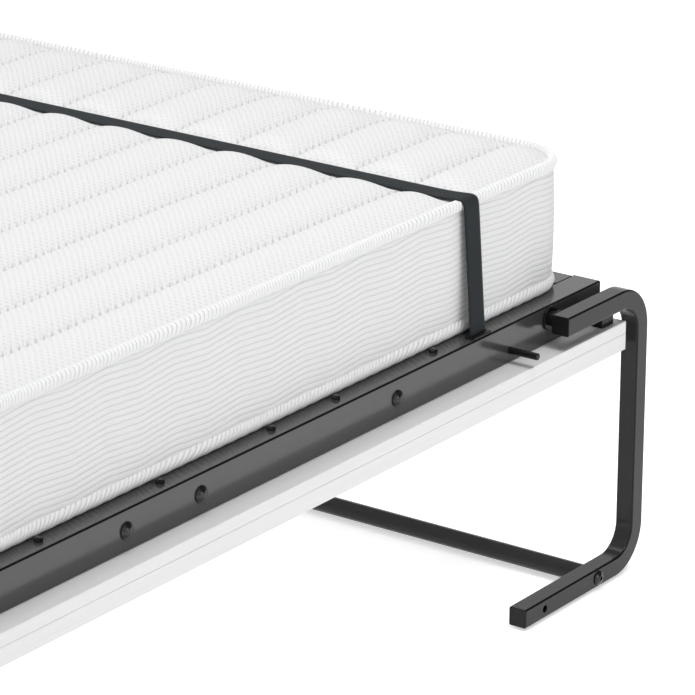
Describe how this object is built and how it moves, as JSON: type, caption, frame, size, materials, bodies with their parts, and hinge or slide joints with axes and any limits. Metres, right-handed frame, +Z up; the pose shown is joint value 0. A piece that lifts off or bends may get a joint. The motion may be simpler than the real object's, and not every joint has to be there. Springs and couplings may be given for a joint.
{
  "type": "fold-down bed",
  "caption": "Fold-down single bed: quilted mattress on a steel frame with a white front panel, swinging C-shaped foot leg, head-end hinge stands and gas struts.",
  "frame": {"origin": "on the floor under the middle of the bounding box, bed folded down", "axes": "+X from the head end to the foot end, +Y to the left of a person lying on their back, +Z up"},
  "size_m": [2.168, 1.445, 0.5674],
  "materials": {
    "graphite_powder_coat": "satin graphite powder coat",
    "stand_powder_coat": "satin graphite powder coat",
    "zinc_hardware": "zinc plated",
    "black_steel": "satin black",
    "black_bolts": "glossy black",
    "black_plastic": "semi-gloss black",
    "beech_plywood": "clear lacquered",
    "white_board": "white melamine face and edge",
    "white_ticking": "white knitted ticking, channel quilted",
    "strap_webbing": "dark grey woven webbing",
    "strut_black": "gloss black",
    "polished_rod": "polished"
  },
  "bodies": {
    "base": {"hinge_stand_left": "stand_powder_coat", "hinge_stand_right": "stand_powder_coat", "base_tie_tube": "stand_powder_coat", "base_tie_bolts": "zinc_hardware", "tilt_pivot_nuts": "zinc_hardware", "strut_anchor_pins": "zinc_hardware", "tilt_pivot_bolt_left": "zinc_hardware", "tilt_pivot_bolt_right": "zinc_hardware"},
    "bed_frame": {"strut_stud_left": "zinc_hardware", "strut_stud_right": "zinc_hardware", "side_rail_left": "graphite_powder_coat", "side_rail_right": "graphite_powder_coat", "head_cross_rail": "graphite_powder_coat", "foot_cross_rail": "graphite_powder_coat", "cross_member_foot": "graphite_powder_coat", "cross_member_centre": "graphite_powder_coat", "cross_member_head": "graphite_powder_coat", "stop_pin_left": "black_steel", "stop_pin_right": "black_steel", "stop_block_left": "black_steel", "stop_block_right": "black_steel", "rail_bolts": "black_bolts", "panel_bolts": "black_bolts", "leg_pivot_washers": "black_plastic", "rail_end_caps": "black_plastic", "strap_guide_left": "black_plastic", "strap_guide_right": "black_plastic", "tilt_bush_left": "black_plastic", "tilt_bush_right": "black_plastic", "slat_holders_left": "black_plastic", "slat_holders_right": "black_plastic", "slat_01": "beech_plywood", "slat_02": "beech_plywood", "slat_03": "beech_plywood", "slat_04": "beech_plywood", "slat_05": "beech_plywood", "slat_06": "beech_plywood", "slat_07": "beech_plywood", "slat_08": "beech_plywood", "slat_09": "beech_plywood", "slat_10": "beech_plywood", "slat_11": "beech_plywood", "slat_12": "beech_plywood", "slat_13": "beech_plywood", "panel_upper_board": "white_board", "panel_outer_board": "white_board", "mattress": "white_ticking", "mattress_strap": "strap_webbing"},
    "leg": {"leg_tube_left": "graphite_powder_coat", "leg_tube_right": "graphite_powder_coat", "leg_cross_tube": "graphite_powder_coat", "leg_end_plugs": "black_plastic", "leg_screws": "black_bolts", "leg_glides": "black_plastic", "leg_pivot_pin_left": "black_steel", "leg_pivot_pin_right": "black_steel"},
    "strut_cylinder_left": {"gas_strut_cylinder_left": "strut_black"},
    "strut_cylinder_right": {"gas_strut_cylinder_right": "strut_black"},
    "strut_rod_left": {"gas_strut_rod_left": "polished_rod"},
    "strut_rod_right": {"gas_strut_rod_right": "polished_rod"}
  },
  "joints": [
    {"name": "bed_tilt", "type": "hinge", "parent": "base", "child": "bed_frame", "pos_m": [-0.744, 0, 0.368], "axis": [0, -1, 0], "range_deg": [0, 90]},
    {"name": "leg_fold", "type": "hinge", "parent": "bed_frame", "child": "leg", "pos_m": [0.915, 0, 0.3765], "axis": [0, -1, 0], "range_deg": [0, 180]},
    {"name": "strut_swing_left", "type": "hinge", "parent": "base", "child": "strut_cylinder_left", "pos_m": [-0.782, 0.642, 0.404], "axis": [0, -1, 0], "range_deg": [0, 89]},
    {"name": "strut_slide_left", "type": "slide", "parent": "strut_cylinder_left", "child": "strut_rod_left", "axis": [-0.9832, 0, -0.1825], "range_m": [0, 0.075]},
    {"name": "strut_swing_right", "type": "hinge", "parent": "base", "child": "strut_cylinder_right", "pos_m": [-0.782, -0.642, 0.404], "axis": [0, -1, 0], "range_deg": [0, 89]},
    {"name": "strut_slide_right", "type": "slide", "parent": "strut_cylinder_right", "child": "strut_rod_right", "axis": [-0.9832, 0, -0.1825], "range_m": [0, 0.075]}
  ],
  "couplings": [
    {"joint": "strut_swing_left", "follows": "bed_tilt", "ratio": 0.97286},
    {"joint": "strut_slide_left", "follows": "bed_tilt", "m_per_rad": 0.046708},
    {"joint": "strut_swing_right", "follows": "bed_tilt", "ratio": 0.97286},
    {"joint": "strut_slide_right", "follows": "bed_tilt", "m_per_rad": 0.046708}
  ]
}
